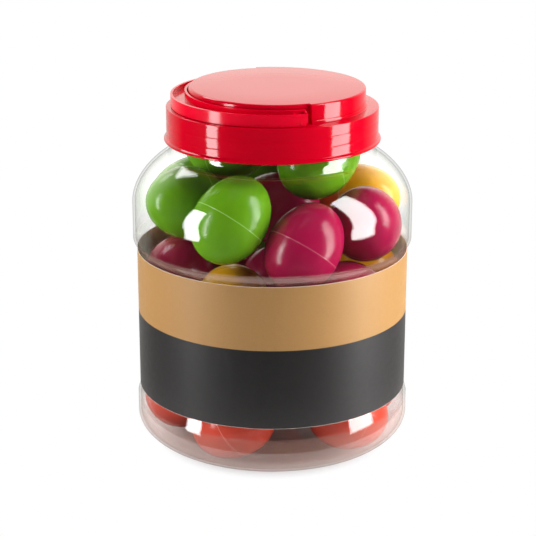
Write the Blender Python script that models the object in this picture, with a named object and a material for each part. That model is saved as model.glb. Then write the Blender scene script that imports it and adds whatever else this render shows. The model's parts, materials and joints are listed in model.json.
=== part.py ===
"""Clear screw-top display jar filled with egg shakers, modelled in metres with +Z up.

The origin is on the jar axis at the level it stands on, and the viewer's side is -Y. A bearing is an
angle seen from above, 0 towards the viewer and growing towards +X. Shapes are drawn in millimetres and
scaled once, when their mesh is made.
"""
import math

import bmesh
import bpy
import numpy as np
from mathutils import Matrix, Vector

MM = 0.001
FIT_GAP = 0.3
SEGMENTS = 48
SMOOTH_ANGLE = math.radians(35)
MERGE_DISTANCE = 0.001
UP = Vector((0.0, 0.0, 1.0))

# Jar
WALL = 1.4
BASE_RING = 52.0
BASE_RING_WIDTH = 6.0
PUSH_UP_RADIUS = 38.0
PUSH_UP_HEIGHT = 6.0
HEEL_RADIUS = 81.1
HEEL_HEIGHT = 16.7
HEEL_STEPS = 7
PANEL_RADIUS = 79.2
PANEL_BOTTOM = 33.4
PANEL_TOP = 119.8
PANEL_LOWER_STEP = 3.0
PANEL_UPPER_STEP = 5.7
UPPER_STEP_BULGE = 0.4
SHOULDER_RADIUS = 82.0
SHOULDER_START = 147.0
SHOULDER_END = 176.2
SHOULDER_DEPTH = 60.0
SHOULDER_RISE = 40.0
SHOULDER_POWER = 1.85
SHOULDER_STEPS = 8
NECK_RADIUS = 58.4
NECK_FOOT = 178.2
LIP_HEIGHT = 199.9
LIP_ROUND = 0.5

# Wrap label
LABEL_RADIUS = 80.0
LABEL_THICKNESS = 0.45
LABEL_BOTTOM = 34.4
LABEL_TOP = 118.8

# Screw thread shared by the neck and the lid
THREAD_PITCH = 6.0
THREAD_TURNS = 1.25
THREAD_ROOT = 2.0
THREAD_CREST = 1.2
THREAD_DEPTH = 1.1
THREAD_BITE = 0.4
THREAD_BEARING = 90.0
NECK_THREAD_START = 187.6
LID_THREAD_START = NECK_THREAD_START - THREAD_ROOT - FIT_GAP

# Lid and its liner
SKIRT_RADIUS = 61.4
SKIRT_BOTTOM = 183.4
SKIRT_BORE = 60.0
BEAD_RADIUS = 62.85
BEAD_HEIGHT = 2.2
BEAD_SLOPE = 0.8
LID_CEILING = 201.7
LEDGE_HEIGHT = 203.2
LEDGE_ROUND = 1.4
LEDGE_CORNER = 0.4
LID_WALL = 1.5
BOSS_TOP = 214.2
BOSS_ROUND = 1.2
BOSS_ROUND_STEPS = 2
BOSS_RADIUS = 53.8
BOSS_HINGE_REACH = 52.0
BOSS_HANDLE_REACH = 48.2
BOSS_STEP = 6.0
BOSS_SIDES = 24
LINER_RADIUS = 59.4
LINER_THICKNESS = 1.2

# Carry handle folded on the ledge, a channel that is widest at its middle
HINGE_BEARING = 17.0
HINGE_HEIGHT = 207.3
HANDLE_RADIUS = 58.7
HANDLE_HINGE_REACH = 53.2
HANDLE_GRIP_REACH = 49.9
HANDLE_BASE = 203.7
HANDLE_OUTER_RIM = 210.3
HANDLE_INNER_RIM = 211.8
HANDLE_WALL = 1.3
HANDLE_FLOOR = 2.6
HANDLE_STEPS = 24
END_OVERHANG = 2.4
END_BACK = 1.0
END_CHAMFER = 1.5
END_CHAMFER_RISE = 1.6
END_INSET = 0.2
PIN_RADIUS = 1.6
PIN_PLAY = 0.4
PIN_INNER_END = 49.5
PIN_OUTER_END = 57.0
ROUND_SIDES = 16

# Egg shakers
EGG_RADIUS = 21.2
EGG_BLUNT = 24.5
EGG_POINT = 28.5
EGG_WALL = 1.8
EGG_SEGMENTS = 12
EGG_RINGS = 8
EGG_ARC_STEPS = 5
EGG_WALL_GAP = 0.7
EGG_REACH = 62.0
SEAM_GAP = 0.3
COLLAR_HEIGHT = 1.6
COLLAR_WALL = 1.2
CHARGE_SIZE = (10.0, 6.0, 10.0)
CHARGE_DROP = 7.0
CHARGE_SEGMENTS = 8
CHARGE_RINGS = 6

# Rings of eggs lying end to end along the wall: height, bearings and colours
BOTTOM_HEIGHT = 25.0
BOTTOM_BEARINGS = (160, 216)
MIDDLE_HEIGHT = 62.0
MIDDLE_BEARINGS = (12, 132, 188, 246)
MIDDLE_COLOURS = ("yellow", "green", "red", "yellow")

# Whole eggs: name, colour, bearing, height, heading of the point, lean from upright, distance off the wall
WHOLE_EGGS = [
    ("core_egg_1", "red", 0, 34, 0, 0, 56),
    ("core_egg_2", "magenta", 0, 88, 0, 0, 56),
    ("core_egg_3", "magenta", 170, 138, 60, 80, 48),
    ("heel_egg_1", "red", 105.5, 24.2, 246, 95, 0.4),
    ("heel_egg_2", "red", 269, 23.5, 29, 73, 0),
    ("side_egg_1", "magenta", 77.6, 60, 102, 92, 1.5),
    ("side_egg_2", "magenta", 305, 61.3, 31, 95, 0.3),
    ("low_egg_1", "yellow", -28, 97.4, 5, 95, 2.1),
    ("low_egg_2", "magenta", 49.7, 97.8, 129, 107, 0),
    ("low_egg_3", "yellow", 101.2, 97.6, 245, 96, 0.2),
    ("low_egg_4", "green", 160, 99.3, 251, 91, 0),
    ("low_egg_5", "magenta", 217.4, 99, 309, 90, 0),
    ("upper_egg_1", "yellow", 115.7, 139.3, 62, 78, 0.2),
    ("upper_egg_2", "green", 178, 141.3, 270, 59, 0),
    ("upper_egg_3", "green", -117, 140, 132, 57, 0),
    ("top_egg_1", "green", -112, 176.6, 57, 84, 1.7),
    ("top_egg_2", "magenta", 146, 176, 61, 84, 1.1),
]

# Eggs made as two shells and a shot charge, with the same columns
SHELL_EGGS = (
    ("left_egg", "green", -70.6, 148.8, -49, 76, 0),
    ("front_left_egg", "green", -24.6, 147.6, 125, 40, 0),
    ("front_right_egg", "magenta", 17.2, 132.4, 126, 38, 1),
    ("right_egg", "magenta", 67.1, 137.6, -1, 54, 0),
    ("neck_egg", "green", 52, 175, 126, 60, 2),
    ("low_left_egg", "magenta", -87, 101.8, -2, 97, 0.9),
    ("bottom_left_egg", "red", -23, 26.6, -113, 121, 3.4),
    ("bottom_right_egg", "red", 48.3, 26.6, 125, 111, 0),
)

# Base colour, roughness, metallic and alpha of each finish
FINISHES = {
    "clear": ((0.93, 0.94, 0.94), 0.05, 0.0, 0.3),
    "label": ((0.30, 0.14, 0.03), 0.45, 0.0, 1.0),
    "lid": ((0.60, 0.0, 0.012), 0.25, 0.0, 1.0),
    "handle": ((0.62, 0.0, 0.014), 0.25, 0.0, 1.0),
    "liner": ((0.85, 0.85, 0.83), 0.7, 0.0, 1.0),
    "green": ((0.12, 0.32, 0.01), 0.3, 0.0, 1.0),
    "magenta": ((0.31, 0.005, 0.05), 0.3, 0.0, 1.0),
    "yellow": ((0.90, 0.42, 0.0), 0.3, 0.0, 1.0),
    "red": ((0.62, 0.06, 0.03), 0.3, 0.0, 1.0),
    "shot": ((0.45, 0.44, 0.42), 0.4, 1.0, 1.0),
}


def bearing_vector(bearing):
    angle = math.radians(bearing)
    return Vector((math.sin(angle), -math.cos(angle), 0.0))


def make_material(part_name, finish):
    colour, roughness, metallic, alpha = FINISHES[finish]
    material = bpy.data.materials.new(part_name)
    material.use_nodes = True
    shader = material.node_tree.nodes["Principled BSDF"]
    shader.inputs["Base Color"].default_value = (*colour, 1.0)
    shader.inputs["Roughness"].default_value = roughness
    shader.inputs["Metallic"].default_value = metallic
    shader.inputs["Alpha"].default_value = alpha
    material.diffuse_color = (*colour, alpha)
    return material


def mesh_from(name, shape):
    """Turn a shape drawn in millimetres into a clean mesh in metres."""
    bmesh.ops.remove_doubles(shape, verts=shape.verts, dist=MERGE_DISTANCE)
    bmesh.ops.recalc_face_normals(shape, faces=shape.faces)
    bmesh.ops.scale(shape, vec=(MM, MM, MM), verts=shape.verts)
    mesh = bpy.data.meshes.new(name)
    shape.to_mesh(mesh)
    shape.free()
    mesh.shade_smooth()
    mesh.set_sharp_from_angle(angle=SMOOTH_ANGLE)
    return mesh


def add_object(name, shape, finish=None, pose=None):
    mesh = mesh_from(name, shape)
    part = bpy.data.objects.new(name, mesh)
    bpy.context.scene.collection.objects.link(part)
    if finish is not None:
        mesh.materials.append(make_material(name, finish))
    if pose is not None:
        part.matrix_world = pose
    return part


def add_boolean(part, operation, name, shape):
    """Join a helper shape to a part, or cut it out of the part."""
    helper = add_object(name, shape, pose=part.matrix_world)
    helper.hide_render = True
    helper.display_type = "WIRE"
    modifier = part.modifiers.new(name, "BOOLEAN")
    modifier.operation = operation
    modifier.solver = "EXACT"
    modifier.object = helper


def spin_outline(outline, segments=SEGMENTS):
    """Turn a closed outline of (radius, height) points once round the Z axis."""
    shape = bmesh.new()
    points = [shape.verts.new((radius, 0.0, height)) for radius, height in outline]
    edges = []
    for start, end in zip(points, points[1:] + points[:1]):
        if start.co.x > 0.0 or end.co.x > 0.0:
            edges.append(shape.edges.new((start, end)))
    bmesh.ops.spin(shape, geom=points + edges, cent=(0, 0, 0), axis=UP, angle=math.tau,
                   steps=segments, use_merge=True)
    return shape


def sweep_section(section, turn, rise, steps):
    """Sweep a closed section of (radius, height) points round the Z axis, rising as it goes."""
    shape = bmesh.new()
    outward = bearing_vector(THREAD_BEARING)
    corners = [shape.verts.new(outward * radius + UP * height) for radius, height in section]
    face = shape.faces.new(corners)
    bmesh.ops.spin(shape, geom=[face], cent=(0, 0, 0), axis=UP, dvec=UP * (rise / steps),
                   angle=turn, steps=steps)
    return shape


def thread_ridge(root_radius, crest_radius, start_height):
    """One helical ridge, its root sunk into the wall that carries it."""
    section = (
        (root_radius, start_height - THREAD_ROOT / 2),
        (crest_radius, start_height - THREAD_CREST / 2),
        (crest_radius, start_height + THREAD_CREST / 2),
        (root_radius, start_height + THREAD_ROOT / 2),
    )
    steps = round(THREAD_TURNS * SEGMENTS)
    return sweep_section(section, THREAD_TURNS * math.tau, THREAD_TURNS * THREAD_PITCH, steps)


def rod(start, end, radius):
    """Round bar between two points."""
    shape = bmesh.new()
    direction = end - start
    turn = direction.to_track_quat("Z", "Y").to_matrix().to_4x4()
    middle = Matrix.Translation((start + end) / 2)
    bmesh.ops.create_cone(shape, cap_ends=True, segments=ROUND_SIDES, radius1=radius, radius2=radius,
                          depth=direction.length, matrix=middle @ turn)
    return shape


def quarter_arc(radius, height, steps):
    """Quarter ellipse from (radius, 0) to (0, height)."""
    angles = [math.pi / 2 * step / steps for step in range(steps)]
    return [(radius * math.cos(angle), height * math.sin(angle)) for angle in angles] + [(0.0, height)]


def jar_outer_line():
    """Outer wall from the lip down to the middle of the base."""
    line = [(NECK_RADIUS - LIP_ROUND, LIP_HEIGHT)]
    line.append((NECK_RADIUS, LIP_HEIGHT - LIP_ROUND))
    line.append((NECK_RADIUS, NECK_FOOT))
    for step in range(SHOULDER_STEPS + 1):
        ease = math.cos(math.pi / 2 * step / SHOULDER_STEPS)
        rise = ease * (SHOULDER_END - SHOULDER_START)
        reach = (1 - (rise / SHOULDER_RISE) ** SHOULDER_POWER) ** (1 / SHOULDER_POWER)
        line.append((SHOULDER_RADIUS - SHOULDER_DEPTH * (1 - reach), SHOULDER_START + rise))
    line.append((SHOULDER_RADIUS, PANEL_TOP + PANEL_UPPER_STEP))
    step_middle = (SHOULDER_RADIUS + PANEL_RADIUS) / 2 + UPPER_STEP_BULGE
    line.append((step_middle, PANEL_TOP + PANEL_UPPER_STEP / 2))
    line.append((PANEL_RADIUS, PANEL_TOP))
    line.append((PANEL_RADIUS, PANEL_BOTTOM))
    line.append((HEEL_RADIUS, PANEL_BOTTOM - PANEL_LOWER_STEP))
    for reach, drop in quarter_arc(HEEL_RADIUS - BASE_RING, HEEL_HEIGHT, HEEL_STEPS):
        line.append((BASE_RING + reach, HEEL_HEIGHT - drop))
    line.append((BASE_RING - BASE_RING_WIDTH, 0.0))
    line.append((PUSH_UP_RADIUS, PUSH_UP_HEIGHT))
    line.append((0.0, PUSH_UP_HEIGHT))
    return line


def offset_line(line, distance):
    """Copy of an outer wall line, moved into the wall by its thickness."""
    points = np.array(line)
    along = np.gradient(points, axis=0)
    along /= np.linalg.norm(along, axis=1)[:, None]
    inward = np.stack((along[:, 1], -along[:, 0]), axis=1)
    moved = points + distance * inward
    moved[0] = (points[1][0] - distance, points[0][1])
    moved[1] = (points[1][0] - distance, points[1][1])
    moved[-1] = (0.0, points[-1][1] + distance)
    return [tuple(point) for point in moved]


def make_jar():
    outer = jar_outer_line()
    inner = offset_line(outer, WALL)
    jar = add_object("jar_body", spin_outline(outer + inner[::-1]), "clear")
    ridge = thread_ridge(NECK_RADIUS - THREAD_BITE, NECK_RADIUS + THREAD_DEPTH, NECK_THREAD_START)
    add_boolean(jar, "UNION", "neck_thread", ridge)
    return inner


def make_label():
    inside = LABEL_RADIUS - LABEL_THICKNESS
    outline = [
        (LABEL_RADIUS, LABEL_TOP),
        (LABEL_RADIUS, LABEL_BOTTOM),
        (inside, LABEL_BOTTOM),
        (inside, LABEL_TOP),
    ]
    add_object("label_band", spin_outline(outline), "label")


def hinge_directions():
    """Unit vectors along the handle's hinge line and towards the folded handle."""
    return bearing_vector(HINGE_BEARING), bearing_vector(HINGE_BEARING - 90.0)


def boss_block(inset, bottom, top):
    """Raised disc, round on one half and flattened to an ellipse where the handle lies beside it."""
    along, aside = hinge_directions()
    radius = BOSS_RADIUS - inset
    hinge_reach = BOSS_HINGE_REACH - inset
    handle_reach = BOSS_HANDLE_REACH - inset
    step = BOSS_STEP + inset
    shape = bmesh.new()
    corners = []
    oval_dip = math.asin(step / handle_reach)
    round_dip = math.asin(step / radius)
    for across, outward, start, end in (
        (hinge_reach, handle_reach, -oval_dip, math.pi + oval_dip),
        (radius, radius, math.pi + round_dip, math.tau - round_dip),
    ):
        for side in range(BOSS_SIDES + 1):
            angle = start + (end - start) * side / BOSS_SIDES
            place = across * math.cos(angle) * along + outward * math.sin(angle) * aside
            corners.append(shape.verts.new(place + UP * bottom))
    face = shape.faces.new(corners)
    grown = bmesh.ops.extrude_face_region(shape, geom=[face])["geom"]
    raised = [item for item in grown if isinstance(item, bmesh.types.BMVert)]
    bmesh.ops.translate(shape, vec=UP * (top - bottom), verts=raised)
    return shape


def make_lid():
    bead_top = SKIRT_BOTTOM + BEAD_HEIGHT
    outline = [
        (0.0, LEDGE_HEIGHT),
        (SKIRT_RADIUS - LEDGE_ROUND, LEDGE_HEIGHT),
        (SKIRT_RADIUS - LEDGE_CORNER, LEDGE_HEIGHT - LEDGE_CORNER),
        (SKIRT_RADIUS, LEDGE_HEIGHT - LEDGE_ROUND),
        (SKIRT_RADIUS, bead_top + BEAD_SLOPE),
        (BEAD_RADIUS, bead_top),
        (BEAD_RADIUS, SKIRT_BOTTOM),
        (SKIRT_BORE, SKIRT_BOTTOM),
        (SKIRT_BORE, LID_CEILING),
        (0.0, LID_CEILING),
    ]
    lid = add_object("lid", spin_outline(outline), "lid")
    boss = boss_block(0.0, LEDGE_HEIGHT - LID_WALL / 2, BOSS_TOP)
    rim = [edge for edge in boss.edges if all(vert.co.z > LEDGE_HEIGHT for vert in edge.verts)]
    bmesh.ops.bevel(boss, geom=rim, offset=BOSS_ROUND, segments=BOSS_ROUND_STEPS, profile=0.5,
                    affect="EDGES")
    add_boolean(lid, "UNION", "lid_boss", boss)
    core = boss_block(LID_WALL, LID_CEILING - LID_WALL, BOSS_TOP - LID_WALL)
    add_boolean(lid, "DIFFERENCE", "lid_core", core)
    hinge_end = bearing_vector(HINGE_BEARING) * HANDLE_HINGE_REACH
    sockets = rod(UP * HINGE_HEIGHT - hinge_end, UP * HINGE_HEIGHT + hinge_end, PIN_RADIUS + PIN_PLAY)
    add_boolean(lid, "DIFFERENCE", "pin_sockets", sockets)
    ridge = thread_ridge(SKIRT_BORE + THREAD_BITE, SKIRT_BORE - THREAD_DEPTH, LID_THREAD_START)
    add_boolean(lid, "UNION", "lid_thread", ridge)


def make_liner():
    bottom = LIP_HEIGHT + FIT_GAP
    top = bottom + LINER_THICKNESS
    outline = [(0.0, top), (LINER_RADIUS, top), (LINER_RADIUS, bottom), (0.0, bottom)]
    add_object("lid_liner", spin_outline(outline), "liner")


def loft(sections):
    """Closed solid through a row of sections that have the same number of points."""
    shape = bmesh.new()
    rings = [[shape.verts.new(point) for point in section] for section in sections]
    for near, far in zip(rings, rings[1:]):
        for corner in range(len(near)):
            shape.faces.new((near[corner - 1], near[corner], far[corner], far[corner - 1]))
    shape.faces.new(rings[0])
    shape.faces.new(rings[-1])
    return shape


def handle_channel(base, outer_rim, inner_rim):
    """Half ring of channel section between a round outer wall and an elliptic inner wall."""
    along, aside = hinge_directions()
    floor = base + HANDLE_FLOOR
    sections = []
    for step in range(HANDLE_STEPS + 1):
        angle = math.pi * step / HANDLE_STEPS
        outer = HANDLE_RADIUS * (math.cos(angle) * along + math.sin(angle) * aside)
        inner = HANDLE_HINGE_REACH * math.cos(angle) * along + HANDLE_GRIP_REACH * math.sin(angle) * aside
        thickness = (outer - inner).normalized() * HANDLE_WALL
        sections.append((
            outer + UP * outer_rim,
            outer + UP * base,
            inner + UP * base,
            inner + UP * inner_rim,
            inner + thickness + UP * inner_rim,
            inner + thickness + UP * floor,
            outer - thickness + UP * floor,
            outer - thickness + UP * outer_rim,
        ))
    return loft(sections)


def end_block(outward, aside, base, outer_rim, inner_rim):
    """Squared end of the handle, cut back at its lower corner to clear the ledge as it swings."""
    inner = outward * (HANDLE_HINGE_REACH + END_INSET)
    outer = outward * (HANDLE_RADIUS - END_INSET)
    sections = []
    stations = ((-END_OVERHANG, END_CHAMFER_RISE), (END_CHAMFER - END_OVERHANG, 0.0), (END_BACK, 0.0))
    for place, lift in stations:
        low = UP * (base + END_INSET + lift)
        sections.append((
            aside * place + outer + UP * (outer_rim - END_INSET),
            aside * place + outer + low,
            aside * place + inner + low,
            aside * place + inner + UP * (inner_rim - END_INSET),
        ))
    return loft(sections)


def make_handle():
    """Channel with a squared end and a pin at each hinge, its origin on the hinge line."""
    base = HANDLE_BASE - HINGE_HEIGHT
    outer_rim = HANDLE_OUTER_RIM - HINGE_HEIGHT
    inner_rim = HANDLE_INNER_RIM - HINGE_HEIGHT
    channel = handle_channel(base, outer_rim, inner_rim)
    handle = add_object("carry_handle", channel, "handle", Matrix.Translation(UP * HINGE_HEIGHT * MM))
    along, aside = hinge_directions()
    for end_name, outward in (("front", along), ("back", -along)):
        block = end_block(outward, aside, base, outer_rim, inner_rim)
        add_boolean(handle, "UNION", end_name + "_end", block)
        pin = rod(outward * PIN_INNER_END, outward * PIN_OUTER_END, PIN_RADIUS)
        add_boolean(handle, "UNION", end_name + "_pin", pin)


def egg_ball(segments, rings, radius, blunt, point):
    """Egg about its widest ring, with the pointed end at +Z."""
    shape = bmesh.new()
    bmesh.ops.create_uvsphere(shape, u_segments=segments, v_segments=rings, radius=1.0)
    for vert in shape.verts:
        length = point if vert.co.z > 0.0 else blunt
        vert.co = Vector((vert.co.x * radius, vert.co.y * radius, vert.co.z * length))
    return shape


def point_shell():
    outer = quarter_arc(EGG_RADIUS, EGG_POINT, EGG_ARC_STEPS)
    inner = quarter_arc(EGG_RADIUS - EGG_WALL, EGG_POINT - EGG_WALL, EGG_ARC_STEPS)
    seam = SEAM_GAP / 2
    outer[0] = (EGG_RADIUS, seam)
    inner[0] = (EGG_RADIUS - EGG_WALL, seam)
    return spin_outline(outer + inner[::-1], EGG_SEGMENTS)


def blunt_shell():
    """Lower half shell, with a collar that plugs into the other half at the seam."""
    seam = SEAM_GAP / 2
    collar_outer = EGG_RADIUS - EGG_WALL - FIT_GAP
    collar_inner = collar_outer - COLLAR_WALL
    outer = [(radius, -depth) for radius, depth in quarter_arc(EGG_RADIUS, EGG_BLUNT, EGG_ARC_STEPS)]
    hollow = quarter_arc(EGG_RADIUS - EGG_WALL, EGG_BLUNT - EGG_WALL, EGG_ARC_STEPS)
    inner = [(radius, -depth) for radius, depth in hollow if radius < collar_inner]
    outer[0] = (EGG_RADIUS, -seam)
    collar = [(collar_inner, COLLAR_HEIGHT), (collar_outer, COLLAR_HEIGHT), (collar_outer, -seam)]
    return spin_outline(outer + inner[::-1] + collar, EGG_SEGMENTS)


def shot_charge():
    """Heap of shot lying in the lower side of the egg."""
    shape = bmesh.new()
    bmesh.ops.create_uvsphere(shape, u_segments=CHARGE_SEGMENTS, v_segments=CHARGE_RINGS, radius=1.0)
    bmesh.ops.scale(shape, vec=CHARGE_SIZE, verts=shape.verts)
    bmesh.ops.translate(shape, vec=(0.0, -CHARGE_DROP, 0.0), verts=shape.verts)
    return shape


def egg_turn(heading, lean):
    """Rotation with the egg's point towards the heading and its local Y on the upper side."""
    plan = bearing_vector(heading)
    point = math.sin(math.radians(lean)) * plan + math.cos(math.radians(lean)) * UP
    across = UP.cross(plan)
    return Matrix((across, point.cross(across), point)).transposed()


def egg_pose(bearing, height, heading, lean, inset, inner_line):
    """Push the egg outward along its bearing until it meets the jar wall, then back by the inset."""
    turn = egg_turn(heading, lean)
    ball = egg_ball(2 * EGG_SEGMENTS, 2 * EGG_RINGS, EGG_RADIUS, EGG_BLUNT, EGG_POINT)
    skin = np.array([turn @ vert.co + UP * height for vert in ball.verts])
    ball.free()
    outward = bearing_vector(bearing)
    foot_radius = BASE_RING - BASE_RING_WIDTH / 2
    wall = sorted((height, radius) for radius, height in inner_line if radius > foot_radius)
    wall_heights, wall_radii = zip(*wall)
    limits = np.interp(skin[:, 2], wall_heights, wall_radii) - EGG_WALL_GAP
    near, far = 0.0, EGG_REACH
    while far - near > MERGE_DISTANCE:
        reach = (near + far) / 2
        radii = np.hypot(skin[:, 0] + reach * outward.x, skin[:, 1] + reach * outward.y)
        if np.all(radii < limits):
            near = reach
        else:
            far = reach
    centre = outward * max(0.0, near - inset) + UP * height
    return Matrix.Translation(centre * MM) @ turn.to_4x4()


def ring_eggs(name, height, bearings, colours):
    """Eggs lying end to end along the wall."""
    return [(f"{name}_{number}", colour, bearing, height, bearing + 90, 90, 0)
            for number, (bearing, colour) in enumerate(zip(bearings, colours), 1)]


def make_whole_eggs(inner_line):
    rings = ring_eggs("bottom_egg", BOTTOM_HEIGHT, BOTTOM_BEARINGS, ["red"] * len(BOTTOM_BEARINGS))
    rings += ring_eggs("middle_egg", MIDDLE_HEIGHT, MIDDLE_BEARINGS, MIDDLE_COLOURS)
    for name, colour, *place in rings + WHOLE_EGGS:
        egg = egg_ball(EGG_SEGMENTS, EGG_RINGS, EGG_RADIUS, EGG_BLUNT, EGG_POINT)
        add_object(name, egg, colour, egg_pose(*place, inner_line))


def make_shell_eggs(inner_line):
    for name, colour, *place in SHELL_EGGS:
        pose = egg_pose(*place, inner_line)
        add_object(name + "_blunt_shell", blunt_shell(), colour, pose)
        add_object(name + "_point_shell", point_shell(), colour, pose)
        add_object(name + "_shot_charge", shot_charge(), "shot", pose)


for old in list(bpy.data.objects):
    bpy.data.objects.remove(old)
jar_inner_line = make_jar()
make_label()
make_lid()
make_liner()
make_handle()
make_whole_eggs(jar_inner_line)
make_shell_eggs(jar_inner_line)
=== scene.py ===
"""Looks of a clear screw-top jar of egg shakers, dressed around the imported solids.

Shapes are drawn in millimetres in the part's own frame and scaled once, when their mesh is made. A bearing
is an angle seen from above, 0 towards the viewer and growing towards +X.
"""

import json
import math

import bmesh
import bpy
import numpy as np
from mathutils import Matrix, Vector


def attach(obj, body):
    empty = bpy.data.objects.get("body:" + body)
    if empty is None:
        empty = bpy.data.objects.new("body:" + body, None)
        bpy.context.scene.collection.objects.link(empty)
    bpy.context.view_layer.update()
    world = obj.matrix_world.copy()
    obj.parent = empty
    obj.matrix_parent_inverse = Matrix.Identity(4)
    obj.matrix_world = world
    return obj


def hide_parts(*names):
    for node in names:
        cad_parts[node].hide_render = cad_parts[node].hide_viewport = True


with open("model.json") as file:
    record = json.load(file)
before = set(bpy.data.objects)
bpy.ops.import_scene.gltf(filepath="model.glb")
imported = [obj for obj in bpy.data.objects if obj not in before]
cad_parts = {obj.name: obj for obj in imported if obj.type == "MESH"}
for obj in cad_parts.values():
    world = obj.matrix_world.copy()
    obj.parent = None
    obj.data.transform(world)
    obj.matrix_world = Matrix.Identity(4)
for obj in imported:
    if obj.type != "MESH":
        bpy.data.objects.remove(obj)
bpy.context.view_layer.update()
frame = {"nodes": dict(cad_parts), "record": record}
slots = {row["node"]: row["material_slot"] for row in frame["record"]["subparts"]}

# Shared values
MM = 0.001
UP = np.array((0.0, 0.0, 1.0))
WHITE = (1.0, 1.0, 1.0, 1.0)
SEGMENTS = 192
ROD_SIDES = 24
MIDDLE_RADIUS = 2.0
MERGE_DISTANCE = 0.001
SMOOTH_ANGLE = 35.0
GLOSS_SPREAD = 0.15

# Jar
WALL = 1.4
NECK_RADIUS = 58.4
LIP_HEIGHT = 199.9
LIP_ROUND = 0.7
LIP_CORNER = 0.2
NECK_FOOT = 180.2
NECK_FILLET = 0.25
NECK_FILLET_DROP = 0.7
NECK_LEDGE = 0.5
NECK_LEDGE_RISE = 0.1
NECK_STEPS = 8
SHOULDER_RADIUS = 82.0
SHOULDER_START = 147.0
SHOULDER_END = 175.6
SHOULDER_DEPTH = 60.0
SHOULDER_RISE = 40.0
SHOULDER_POWER = 1.85
SHOULDER_STEPS = 36
PANEL_RADIUS = 79.2
PANEL_TOP = 119.8
PANEL_UPPER_STEP = 5.7
UPPER_STEP_STEPS = 12
PANEL_BOTTOM = 33.4
PANEL_LOWER_STEP = 5.4
LOWER_STEP_STEPS = 6
HEEL_RADIUS = 81.1
HEEL_HEIGHT = 16.7
HEEL_STEPS = 28
BASE_RING = 52.0
BASE_RING_INNER = 46.0
PUSH_UP_RADIUS = 38.0
PUSH_UP_HEIGHT = 6.0
PUSH_UP_STEPS = 12

# Clear plastic
CLEAR_IOR = 1.57
CLEAR_SHEEN_LIMIT = 0.14
CLEAR_ROUGHNESS = 0.03
CLEAR_TINT = (0.975, 0.978, 0.975)
# Darker see-through tone where the wall is seen slantwise: painted shade along the jar's edges
CLEAR_EDGE_SHADE = (0.62, 0.63, 0.62)
# Haze tone, part milky plastic and part painted shade and egg colour seen through the wall
HAZE_AND_SHADE_COLOUR = (0.47, 0.28, 0.23, 1.0)
WALL_HAZE = 0.004
STEP_HAZE = 0.13
HEEL_HAZE = 0.12
FOOT_HAZE = 0.29
HEEL_HAZE_FADE = 1.0
STEP_HAZE_LOW_FADE = 0.5
STEP_HAZE_HIGH_FADE = 0.8

# Screw thread
THREAD_PITCH = 6.0
THREAD_TURNS = 1.25
THREAD_BEARING = 90.0
THREAD_DEPTH = 1.1
THREAD_ROOT = 2.0
THREAD_CREST = 1.2
THREAD_FADE = 12.0
NECK_THREAD_START = 187.6
LID_THREAD_START = 185.3
THREAD_SPACING = 0.35
NECK_THREAD_CLEAR = 4.0
LID_THREAD_CLEAR = 0.6

# Wrap label, with the length and edges of its lap in degrees
LABEL_RADIUS = 80.0
LABEL_INNER = 79.5
LABEL_BOTTOM = 34.4
LABEL_TOP = 118.8
LABEL_SPLIT = 81.4
LABEL_SPLIT_BLUR = 0.1
# Width of the pale strip along the top and bottom edges of the label, a painted highlight line
LABEL_EDGE_HIGHLIGHT = 0.14
LABEL_EDGE_BLUR = 0.05
LABEL_LAP_STEP = 0.22
LABEL_LAP = 9.0
LABEL_LAP_EASE = 1.5
LABEL_LAP_BEARING = 180.0
LABEL_LAP_EDGE = 0.05
LABEL_LAP_CLEAR = 0.2
GOLD_INK = ((0.385, 0.19, 0.040), (0.415, 0.205, 0.046))
BLACK_INK = ((0.009, 0.007, 0.007), (0.014, 0.011, 0.011))
# Paper tone, on the back of the label and in the painted highlight strip along its edges
PAPER_AND_EDGE_HIGHLIGHT = ((0.84, 0.71, 0.62), (0.90, 0.77, 0.68))
LABEL_ROUGHNESS = (0.46, 0.54)

# Lid
SKIRT_RADIUS = 61.4
SKIRT_BOTTOM = 183.4
SKIRT_BORE = 60.0
BEAD_RADIUS = 62.85
BEAD_HEIGHT = 1.4
BEAD_EDGE = 0.4
BEAD_CROWN = 0.5
BEAD_ARC = 60.0
BEAD_STEPS = 7
BEAD_FLARE = 0.9
BEAD_FLARE_INSET = 0.3
BEAD_FLARE_STEPS = (0.2, 0.4, 0.6, 0.8)
BORE_ROUND = 0.5
BORE_FLARE = 0.3
LID_CEILING = 201.7
CORE_CHAMFER = 1.0
LEDGE_HEIGHT = 203.2
LEDGE_ROUND = 0.6
LEDGE_STEPS = 6
LID_WALL = 1.5
BOSS_TOP = 214.2
BOSS_ROUND = 1.2
BOSS_HANDLE_ROUND = 1.9
BOSS_ROUND_STEPS = 9
BOSS_RADIUS = 53.8
BOSS_HINGE_REACH = 52.0
BOSS_HANDLE_REACH = 48.2
BOSS_STEP_ANGLE = 6.5
BOSS_STEP_EDGE = 0.06
BOSS_STEP_CLEAR = 0.4
BOSS_FOOT = 0.7
BOSS_FOOT_HEIGHT = 1.9
BOSS_FOOT_ROUND = 0.3
BOSS_FOOT_SHARE = 0.7
SKIRT_STEPS = 40
SINK_DEPTH = 0.09
SINK_WIDTH = 0.6
SINK_LOW_FADE = 1.5
SINK_HIGH_FADE = 3.0
LID_RED = ((0.53, 0.0, 0.012), (0.51, 0.0, 0.011))
LID_ROUGHNESS = 0.09

# Liner under the lid
LINER_SEGMENTS = 96
LINER_RADIUS = 59.4
LINER_BOTTOM = 200.2
LINER_TOP = 201.4
LINER_CHAMFER = 0.4
LINER_RING_START = 6.0
LINER_RING_GAP = 8.0
LINER_RING_MARGIN = 4.0
LINER_RING_WIDTH = 0.8
LINER_RING_DEPTH = 0.25
FOAM_WHITE = ((0.80, 0.80, 0.78), (0.88, 0.88, 0.86))
FOAM_ROUGHNESS = (0.6, 0.8)

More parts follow.
